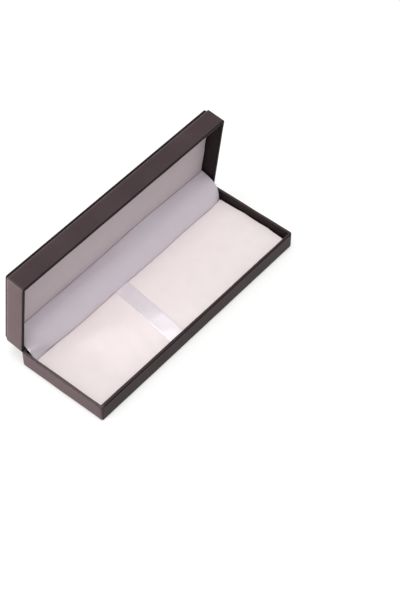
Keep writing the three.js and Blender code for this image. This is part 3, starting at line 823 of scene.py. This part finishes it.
class PENBOX_OT_panel(bpy.types.Operator):
    """Padded leather panel on the lid, drawn down at its seam and lapped over the spine"""
    bl_idname = "penbox.panel"
    bl_label = "Lid Panel"

    def execute(self, context):
        pitch = context.scene.pen_box_stitching.pitch / MM
        insets = [0, 0.05, 0.2, 0.45, 0.8, 1.2, 1.65, 2.05, 2.35, 2.6, 2.8, 3.0, 3.25, 3.6, 4.1, 4.8]
        lap_end = SPINE_START + SPINE_ARC + PANEL_HIGH[2] - SPINE_RADIUS - PANEL_LOW[2]
        xs = graded(PANEL_LOW[0], PANEL_HIGH[0], insets, 0.78)
        vs = graded(0, lap_end, insets, 0.78)
        vs = vs[:-len(insets) + 1]
        vs = np.append(vs, np.linspace(vs[-1], lap_end, 7)[1:])

        def thinning(v):
            share_of = np.clip((v - SPINE_START + 1) / 5, 0, 1)
            return share_of * share_of * (3 - 2 * share_of)

        def radius(v):
            return PANEL_EDGE + (LAP_EDGE - PANEL_EDGE) * thinning(v)

        def height(x, v, inset):
            uneven = stray(x, v, inset, fade=4, amount=0.045, wave=26, seed=21)
            return uneven - edge_drop(inset, radius(v)) - seam_dip(x, v, pitch)

        def skirt(v, part):
            depth = PANEL_SKIRT + (LAP_SKIRT - PANEL_SKIRT) * thinning(v)
            return -(radius(v) + part * (depth - radius(v)))

        flat, faces = slab(xs, vs, PANEL_CORNER, False, height, skirt, (0.5, 1))
        # Painted shade: the panel's skirt, in the groove under its edge, is painted dark
        skirt_shade = PAINTED_SHADE * (flat[:, 2] < -PANEL_EDGE / 2)
        piece = build("panel_skin", over_spine(flat), faces, flat[:, :2], rub=skirt_shade)
        thicken(piece, LEATHER)
        piece.data.transform(TURN_OPEN)
        dress(piece, "lid", "dark_leather", leatherette(), "panel_leather", "panel_foam")
        return {"FINISHED"}


def stitch_tree():
    """Nodes that set a stitch at the middle of each pitch of a seam."""
    tree = bpy.data.node_groups.new("Running stitch", "GeometryNodeTree")
    for name, kind in (("Seam", "Geometry"), ("Stitch", "Object"), ("Pitch", "Float"), ("Lean", "Float"),
                       ("Seed", "Int"), ("Thread", "Material")):
        tree.interface.new_socket(name, in_out="INPUT", socket_type=f"NodeSocket{kind}")
    tree.interface.new_socket("Stitches", in_out="OUTPUT", socket_type="NodeSocketGeometry")

    def step(kind, values=None):
        return add(tree, kind, values).outputs[0]

    given = add(tree, "NodeGroupInput").outputs
    total = step("GeometryNodeSplineLength")
    half = maths(tree, "MULTIPLY", given["Pitch"], 0.5)
    line = step("GeometryNodeMeshToCurve", {"Mesh": given["Seam"]})
    trimmed = step("GeometryNodeTrimCurve", {
        "mode": "LENGTH", "Curve": line, 4: half, 5: maths(tree, "SUBTRACT", total, half)})
    whole = maths(tree, "ADD", total, given["Pitch"])
    count = maths(tree, "ROUND", maths(tree, "DIVIDE", whole, given["Pitch"]))
    dots = step("GeometryNodeResampleCurve", {"mode": "COUNT", "Curve": trimmed, "Count": count})
    ahead = step("FunctionNodeAlignRotationToVector", {
        "axis": "X", "Vector": step("GeometryNodeInputTangent")})
    up = step("GeometryNodeInputNamedAttribute", {"data_type": "FLOAT_VECTOR", "Name": "up"})
    upright = step("FunctionNodeAlignRotationToVector", {
        "axis": "Z", "pivot_axis": "X", "Rotation": ahead, "Vector": up})
    other = maths(tree, "MULTIPLY", given["Lean"], -0.4)
    draw = add(tree, "FunctionNodeRandomValue", {
        "data_type": "FLOAT", 2: other, 3: given["Lean"], "Seed": given["Seed"]}).outputs[1]
    lean = step("FunctionNodeEulerToRotation", {0: step("ShaderNodeCombineXYZ", {"Z": draw})})
    leaning = step("FunctionNodeRotateRotation", {"rotation_space": "LOCAL", "Rotation": upright, 1: lean})
    stitch = add(tree, "GeometryNodeObjectInfo", {"Object": given["Stitch"]}).outputs["Geometry"]
    laid = step("GeometryNodeInstanceOnPoints", {"Points": dots, "Instance": stitch, "Rotation": leaning})
    real = step("GeometryNodeRealizeInstances", {"Geometry": laid})
    spun = step("GeometryNodeSetMaterial", {"Geometry": real, "Material": given["Thread"]})
    add(tree, "NodeGroupOutput", {0: spun})
    return tree


def one_stitch(stitch, thickness):
    """One stitch along X: three twisted strands that rise from one needle hole and dive into the next."""
    strands, sides, steps, turns = 3, 7, 16, 2.2
    strand, rise, sunk, bluntness = thickness * 0.29, thickness + 0.3, 0.42 + thickness / 3, 0.45
    t = np.linspace(0, 1, steps + 1)
    x = (t - 0.5) * stitch
    z = rise * np.clip(np.sin(math.pi * t), 0, 1) ** bluntness - sunk
    points, faces = [], []
    for strand_at in range(strands):
        spin = 2 * math.pi * (turns * t + strand_at / strands)
        middle = np.column_stack([x, strand * np.cos(spin), z + strand * np.sin(spin)])
        start = len(points)
        for centre in middle:
            for side in range(sides):
                round_it = 2 * math.pi * side / sides
                points.append(centre + strand * np.array([0, math.cos(round_it), math.sin(round_it)]))
        rows = start + np.arange((steps + 1) * sides).reshape(steps + 1, sides)
        faces += quads(rows[:, ::-1], True) + [tuple(rows[0]), tuple(rows[-1][::-1])]
    return build("stitch_pattern", points, faces)


class PENBOX_OT_stitching(bpy.types.Operator):
    """Thread of the running stitch round three sides of the panel"""
    bl_idname = "penbox.stitching"
    bl_label = "Stitching"

    def execute(self, context):
        values = context.scene.pen_box_stitching
        turns = [(x, v, 0) for x, v in (
            (-SEAM_HALF, SEAM_END), (-SEAM_HALF, SEAM_INSET), (SEAM_HALF, SEAM_INSET), (SEAM_HALF, SEAM_END))]
        legs = [np.linspace(a, b, count) for a, b, count in zip(turns, turns[1:], (60, 160, 60))]
        flat = np.vstack(legs)
        points = over_spine(flat)
        up = over_spine(flat + (0, 0, 1)) - points
        starts = np.cumsum([0] + [len(leg) for leg in legs])
        edges = [(at, at + 1) for a, b in zip(starts, starts[1:]) for at in range(a, b - 1)]
        mesh = bpy.data.meshes.new("seam_stitches")
        mesh.from_pydata((points * MM).tolist(), edges, [])
        upward = mesh.attributes.new("up", "FLOAT_VECTOR", "POINT")
        upward.data.foreach_set("vector", up.astype(np.float32).ravel())
        piece = bpy.data.objects.new("seam_stitches", mesh)
        context.scene.collection.objects.link(piece)
        pattern = one_stitch(values.stitch / MM, values.thickness / MM)
        finish = thread(values.thread)
        tree = stitch_tree()
        nodes = piece.modifiers.new("Running stitch", "NODES")
        nodes.node_group = tree
        given = {"Stitch": pattern, "Pitch": values.pitch, "Lean": values.lean, "Seed": values.seed,
                 "Thread": finish}
        for socket in tree.interface.items_tree:
            if socket.name in given:
                nodes[socket.identifier] = given[socket.name]
        settle(piece)
        bpy.data.objects.remove(pattern)
        if not piece.data.polygons:
            raise RuntimeError("the seam has no stitches")
        piece.data.shade_smooth()
        piece.data.transform(TURN_OPEN)
        dress(piece, "lid", "dark_leather", finish)
        return {"FINISHED"}


def swell(piece, held, most):
    """Blows the free part of a piece up with cloth at ten times its size, and keeps the shape of its rise.
    The greatest rise is most, in millimetres."""
    grown, frames, scene = 10, 20, bpy.context.scene
    copy = piece.copy()
    copy.data = piece.data.copy()
    copy.data.transform(Matrix.Scale(grown, 4))
    scene.collection.objects.link(copy)
    copy.vertex_groups.new(name="held").add([int(at) for at in np.flatnonzero(held)], 1, "REPLACE")
    cloth = copy.modifiers.new("Cloth", "CLOTH")
    cloth.settings.vertex_group_mass = "held"
    cloth.settings.use_pressure = True
    cloth.settings.uniform_pressure_force = 4
    cloth.settings.effector_weights.gravity = 0
    cloth.collision_settings.use_collision = False
    for at in range(frames):
        scene.frame_set(at + 1)
    seen = copy.evaluated_get(bpy.context.evaluated_depsgraph_get())
    after = np.array([v.co for v in seen.data.vertices]) / grown / MM
    scene.frame_set(1)
    bpy.data.objects.remove(copy)
    moves = after - places(piece)
    moves *= most / np.linalg.norm(moves, axis=1).max()
    return moves


class PENBOX_OT_pad(bpy.types.Operator):
    """Padded insert: foam under pale cloth, swollen between its tucked edges"""
    bl_idname = "penbox.pad"
    bl_label = "Padded Insert"

    def execute(self, context):
        values = context.scene.pen_box_lining
        insets = [0, 0.08, 0.32, 0.7, 1.1, 1.6, 2.5, 3.6]
        xs = graded(PAD_LOW[0], PAD_HIGH[0], insets, 1.6)
        vs = graded(PAD_LOW[1], PAD_HIGH[1], insets, 1.6)

        def height(x, v, inset):
            rise = 1 - (1 - np.clip((inset - PAD_EDGE) / PAD_REACH, 0, 1)) ** 2
            return PAD_EDGE_HEIGHT - edge_drop(inset, PAD_EDGE) + PAD_CROWN / 2 * rise

        def skirt(v, part):
            return PAD_SIDE_TOP + part * (PAD_LOW[2] - PAD_SIDE_TOP)

        points, faces = slab(xs, vs, PAD_CORNER, True, height, skirt, (0.3, 0.65))
        piece = build("pad_cushion", points, faces, points[:, :2])
        held = points[:, 2] < PAD_SIDE_TOP + 0.05
        moves = swell(piece, held, values.crown / MM)
        moves[:, :2] = 0
        points = points + moves
        right = np.clip((points[:, 0] - PAD_HIGH[0]) / STRAY_FADE + 1, 0, 1)
        points[:, 0] += right * np.interp(points[:, 1], *PAD_RIGHT_STRAY)
        from_end = np.minimum(points[:, 0] - PAD_LOW[0], PAD_HIGH[0] - points[:, 0])
        puckers = 0.12 * np.clip(1 - from_end / 8, 0, 1) * np.cos(points[:, 1] / 4.1)
        upper = points[:, 2] > PAD_SIDE_TOP
        points[:, 2] += ripple(points, amount=0.07, wave=16, seed=31) * upper - puckers
        front = np.clip((PAD_LOW[1] - points[:, 1]) / STRAY_FADE + 1, 0, 1)
        points[:, 1] += front * np.interp(points[:, 0], *PAD_FRONT_STRAY)
        move(piece, points)
        subdivide(piece)
        finish = lining_cloth("Pale lining cloth", values.pad, roughness=0.82, sheen=0.15)
        dress(piece, "base", "pale_cloth", finish, "pad_cover", "pad_foam")
        return {"FINISHED"}


class PENBOX_OT_ribbon(bpy.types.Operator):
    """Satin ribbon drawn askew over the insert and tucked down behind it at both ends"""
    bl_idname = "penbox.ribbon"
    bl_label = "Ribbon"

    def execute(self, context):
        values = context.scene.pen_box_ribbon
        width, middle = values.width / MM, values.middle / MM
        pad = bpy.data.objects["pad_cushion"]
        tree = BVHTree.FromPolygons(
            [v.co for v in pad.data.vertices], [p.vertices for p in pad.data.polygons])
        front, back = RIBBON_LOW[1] + RIBBON_ROOM, RIBBON_HIGH[1] - RIBBON_ROOM
        low, middle_height = RIBBON_LOW[2], (RIBBON_LOW[2] + PAD_SIDE_TOP) / 2
        arc = [(RIBBON_BEND * (1 - math.cos(a)), PAD_SIDE_TOP + RIBBON_BEND * math.sin(a))
               for a in np.linspace(0, math.pi / 2, 9)]
        path = [(front, low), (front, middle_height)] + [(front + away, z) for away, z in arc]
        ends = [(back - away, z) for away, z in arc[::-1]] + [(back, middle_height), (back, low)]
        path += [(y, 0.0) for y in np.linspace(path[-1][0], ends[0][0], 60)[1:-1]] + ends
        across = np.linspace(-0.5, 0.5, 15)
        points, flat, run = [], [], 0.0
        last = path[0]
        for y, z in path:
            for side in across:
                x = middle + side * width + y * math.tan(values.skew)
                at = z
                hit = tree.ray_cast(Vector((x, y, 30)) * MM, Vector((0, 0, -1)))[0]
                if hit and hit.z / MM > PAD_EDGE_HEIGHT - 0.6:
                    at = max(hit.z / MM + RIBBON_LIFT, z)
                curl = 0.01 * (2 * abs(side)) ** 6
                wave = 0.07 * math.sin(y * 0.52 + 2 * side) * (1 - (2 * abs(side)) ** 2)
                points.append((x, y, at + (curl + max(wave, 0) if z == 0 else 0)))
            run += math.hypot(y - last[0], (z or PAD_HIGH[2]) - (last[1] or PAD_HIGH[2]))
            flat += [(side * width, run) for side in across]
            last = (y, z)
        rows = np.arange(len(points)).reshape(len(path), len(across))
        piece = subdivide(build("satin_ribbon", points, quads(rows), flat))
        thicken(piece, RIBBON_THICKNESS, 1)
        dress(piece, "base", "satin", satin(values.satin), "ribbon_strap")
        return {"FINISHED"}


def crease(x):
    """How far the hinge cover climbs over the lower edge of the lid's lining, smoothed along the box."""
    fine = np.linspace(-90, 90, 361)
    window = np.hanning(37)
    rough = np.pad(np.interp(fine, *COVER_CLIMB), len(window) // 2, "edge")
    smooth = np.convolve(rough, window / window.sum(), "valid")
    return np.interp(x, fine, smooth)


class PENBOX_OT_hinge_cover(bpy.types.Operator):
    """Curled cloth cover from behind the insert to the lid's lining"""
    bl_idname = "penbox.hinge_cover"
    bl_label = "Hinge Cover"

    def execute(self, context):
        values = context.scene.pen_box_lining
        foot, axis_y, axis_z = COVER_LOW[1], AXIS[1], AXIS[2]
        xs = graded(COVER_LOW[0], COVER_HIGH[0], [0, 0.6, 1.4, 2.4], 1.5)
        tucks = np.random.default_rng(41).uniform(-80, 80, 9)
        rows = []
        for x in xs:
            middle = 1 - abs(x / COVER_HIGH[0]) ** (5 if x < 0 else 24)
            lean = values.bulge / MM * middle * (1 + 0.12 * math.sin(x / 11))
            back, climb = 0.7 * (1 - middle), crease(x)
            lower = np.column_stack([foot + COVER_FOOT[:, :3] @ (1, lean, back), COVER_FOOT[:, 3]])
            upper = np.column_stack([axis_y + COVER_TOP[:, :2] @ (1, climb), COVER_TOP[:, 2:] @ (1, climb)])
            knots = np.vstack([(foot, COVER_LOW[2] - axis_z), lower, upper])
            tucked = np.clip((-x - 73) / 11.6, 0, 1) ** 1.6
            knots[2:10] += tucked * (END_TUCK + (foot, 0) - knots[2:10])
            rows.append(smooth_line(knots + (0, axis_z), COVER_STEPS))
        grid = np.array(rows)
        points = np.column_stack([np.repeat(xs, COVER_STEPS), grid[:, :, 0].ravel(), grid[:, :, 1].ravel()])
        steps = np.linalg.norm(np.diff(grid, axis=1), axis=2)
        run = np.concatenate([np.zeros((len(xs), 1)), np.cumsum(steps, 1)], 1)
        flat = np.column_stack([points[:, 0], run.ravel()])
        numbers = np.arange(len(points)).reshape(len(xs), COVER_STEPS)
        piece = build("cloth_hinge_cover", points, quads(numbers), flat)
        near_foot = bell(points[:, 2] - axis_z + 3, 2.2)
        near_top = bell(points[:, 1] - axis_y - 5.9, 3)
        folds = sum(bell(points[:, 0] - at, 1.6) for at in tucks)
        loose = ripple(points * (1, 0.5, 0.5), amount=0.16, wave=30, seed=42)
        loose *= (1 - near_foot) * (1 - near_top)
        puckers = 0.12 * near_top * np.sin(points[:, 0] / 5)
        push(piece, -0.16 * folds * near_foot + loose - puckers)
        thicken(piece, COVER_THICKNESS)
        finish = lining_cloth("Lilac lining cloth", values.cover, roughness=0.6, sheen=0.3)
        dress(piece, None, "lilac_cloth", finish, "hinge_cover")
        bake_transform(piece)
        return {"FINISHED"}


def smooth_line(knots, count):
    """Points evenly spread along a smooth curve through the knots."""
    knots = np.array(knots, float)
    padded = np.vstack([2 * knots[0] - knots[1], knots, 2 * knots[-1] - knots[-2]])
    pieces = []
    for a, b, c, d in zip(padded, padded[1:], padded[2:], padded[3:]):
        t = np.linspace(0, 1, 24)[:, None]
        square, cube = 2 * a - 5 * b + 4 * c - d, 3 * b - a - 3 * c + d
        pieces.append(0.5 * (2 * b + (c - a) * t + square * t ** 2 + cube * t ** 3))
    line = np.vstack(pieces)
    run = np.concatenate([[0], np.cumsum(np.linalg.norm(np.diff(line, axis=0), axis=1))])
    at = np.linspace(0, run[-1], count)
    return np.column_stack([np.interp(at, run, line[:, 0]), np.interp(at, run, line[:, 1])])


class PENBOX_OT_liner(bpy.types.Operator):
    """Cloth-covered lining board in the lid"""
    bl_idname = "penbox.liner"
    bl_label = "Lid Lining"

    def execute(self, context):
        values = context.scene.pen_box_lining
        insets = [0, 0.04, 0.15, 0.3, 0.5, 0.9, 1.6, 2.6]
        xs = graded(LINER_LOW[0], LINER_HIGH[0], insets, 2.0)
        vs = graded(LINER_LOW[1], LINER_HIGH[1], insets, 2.0)
        thickness = LINER_HIGH[2] - LINER_LOW[2]

        def height(x, v, inset):
            uneven = stray(x, v, inset, fade=3, amount=0.05, wave=24, seed=51)
            return uneven - edge_drop(inset, LINER_EDGE)

        def skirt(v, part):
            return -(LINER_EDGE + part * (thickness - LINER_EDGE))

        flat, faces = slab(xs, vs, LINER_CORNER, True, height, skirt, (0.5,))
        points = flat.copy()
        ends = np.clip((np.abs(flat[:, 0]) - LINER_HIGH[0]) / 5 + 1, 0, 1)
        puckers = 0.22 * np.sin(flat[:, 1] / 3.4)
        points[:, 0] += ends * puckers * np.sign(flat[:, 0])
        points[:, 2] = LINER_LOW[2] - flat[:, 2]
        piece = build("lid_lining", points, [f[::-1] for f in faces], flat[:, :2])
        piece.data.transform(TURN_OPEN)
        # The liner's colour is darker than the pad's partly as painted shade
        finish = lining_cloth("Lid lining cloth", values.liner, roughness=0.85, sheen=0.1)
        dress(piece, "lid", "grey_cloth", finish, "liner_cloth", "liner_foam")
        return {"FINISHED"}


class PENBOX_OT_fittings(bpy.types.Operator):
    """Finishes of the shells, boards and hinges, whose packed shapes stay"""
    bl_idname = "penbox.fittings"
    bl_label = "Shells and Fittings"

    def execute(self, context):
        # Injection moulded styrene, black, with a matt mould texture.
        plastic = raw_board("Moulded black styrene", "#262222", "#322d2d", fleck=0.0008)
        # Greyboard pressed from waste paper, with pale and dark fibres.
        card = raw_board("Pressed greyboard", "#7d7771", "#a39d95", fleck=0.0015)
        steel = plated_steel()
        for name, node in frame["nodes"].items():
            if name.endswith("_shell"):
                finish = plastic
            elif name.endswith("_board") or name == "insert_platform":
                finish = card
            elif name == "underside_panel":
                finish = leatherette()
            elif "leaf" in name or "pin" in name or "rivet" in name:
                finish = steel
            else:
                continue
            for holder in node.material_slots:
                holder.material = finish
        return {"FINISHED"}


def point_at(thing, place, target):
    """Puts a lamp or camera at a place in metres and turns it toward another."""
    thing.location = place
    thing.rotation_euler = (Vector(target) - Vector(place)).to_track_quat("-Z", "Y").to_euler()
    bpy.context.scene.collection.objects.link(thing)


def eye_share(tree):
    """1 for what reaches the eye, straight, mirrored or through glass, and 0 for what lights the pieces."""
    path = add(tree, "ShaderNodeLightPath").outputs
    both = maths(tree, "MAXIMUM", path["Is Camera Ray"], path["Is Glossy Ray"])
    return maths(tree, "MAXIMUM", both, path["Is Transmission Ray"])


class PENBOX_OT_stage(bpy.types.Operator):
    """Pale floor, even soft light and the camera"""
    bl_idname = "penbox.stage"
    bl_label = "Stage"

    def execute(self, context):
        scene, values = context.scene, context.scene.pen_box_stage
        corners = np.array([(-1, -1, 0), (1, -1, 0), (1, 1, 0), (-1, 1, 0)])
        floor = build("floor", corners * FLOOR_REACH, [(0, 1, 2, 3)])
        made, tree, _, _ = finish_of("Matt white paper", {
            "Roughness": 0.9, "Base Color": (*values.floor, 1), "Emission Color": (1, 1, 1, 1)})
        glow = maths(tree, "MULTIPLY", eye_share(tree), FLOOR_GLOW)
        floor.data.materials.append(fed(made, {"Emission Strength": glow}))

        world = bpy.data.worlds.new("Even sky")
        world.use_nodes = True
        tree = world.node_tree
        sky = tree.nodes["Background"]
        sky.inputs["Color"].default_value = (1, 1, 1, 1)
        tree.links.new(ranged(tree, eye_share(tree), values.sky, 1.0), sky.inputs["Strength"])
        scene.world = world

        for name, place, aim, size, power in (
                ("key_lamp", (-0.06, -0.12, 1.05), (0, 0, 0), 0.8, values.lamp),
                ("side_lamp", (-0.5, 0.25, 0.04), (0, 0.02, 0.03), 0.12, values.lamp * SIDE_LAMP_SHARE)):
            light = bpy.data.lights.new(name, "AREA")
            light.shape, light.size, light.energy = "DISK", size, power
            point_at(bpy.data.objects.new(name, light), place, aim)

        lens = bpy.data.cameras.new("photo_camera")
        lens.sensor_width, lens.lens = 36, LENS
        lens.clip_start, lens.clip_end = 0.05, 20
        camera = bpy.data.objects.new("photo_camera", lens)
        point_at(camera, CAMERA_PLACE, CAMERA_AIM)
        scene.camera = camera
        scene.view_settings.view_transform = "Standard"
        return {"FINISHED"}


PIECES = (
    PENBOX_OT_stage, PENBOX_OT_fittings, PENBOX_OT_base_wrap, PENBOX_OT_lid_wrap, PENBOX_OT_panel,
    PENBOX_OT_stitching, PENBOX_OT_pad, PENBOX_OT_ribbon, PENBOX_OT_liner, PENBOX_OT_hinge_cover)


class PENBOX_PT_sidebar(bpy.types.Panel):
    """Values and pieces of the pen box"""
    bl_idname = "PENBOX_PT_sidebar"
    bl_label = "Pen Box"
    bl_space_type = "VIEW_3D"
    bl_region_type = "UI"
    bl_category = "Pen Box"

    def draw(self, context):
        for name, group in GROUPS.items():
            box = self.layout.box()
            box.label(text=group.__doc__)
            for key in group.__annotations__:
                box.prop(getattr(context.scene, name), key)
        for piece in PIECES:
            self.layout.operator(piece.bl_idname)


def register():
    for group in (*GROUPS.values(), *PIECES, PENBOX_PT_sidebar):
        bpy.utils.register_class(group)
    for name, group in GROUPS.items():
        setattr(bpy.types.Scene, name, bpy.props.PointerProperty(type=group))


def unregister():
    for name in GROUPS:
        delattr(bpy.types.Scene, name)
    for group in (PENBOX_PT_sidebar, *reversed(PIECES), *reversed(GROUPS.values())):
        bpy.utils.unregister_class(group)


def main():
    register()
    for piece in PIECES:
        group, name = piece.bl_idname.split(".")
        getattr(getattr(bpy.ops, group), name)()


if __name__ == "__main__":
    main()
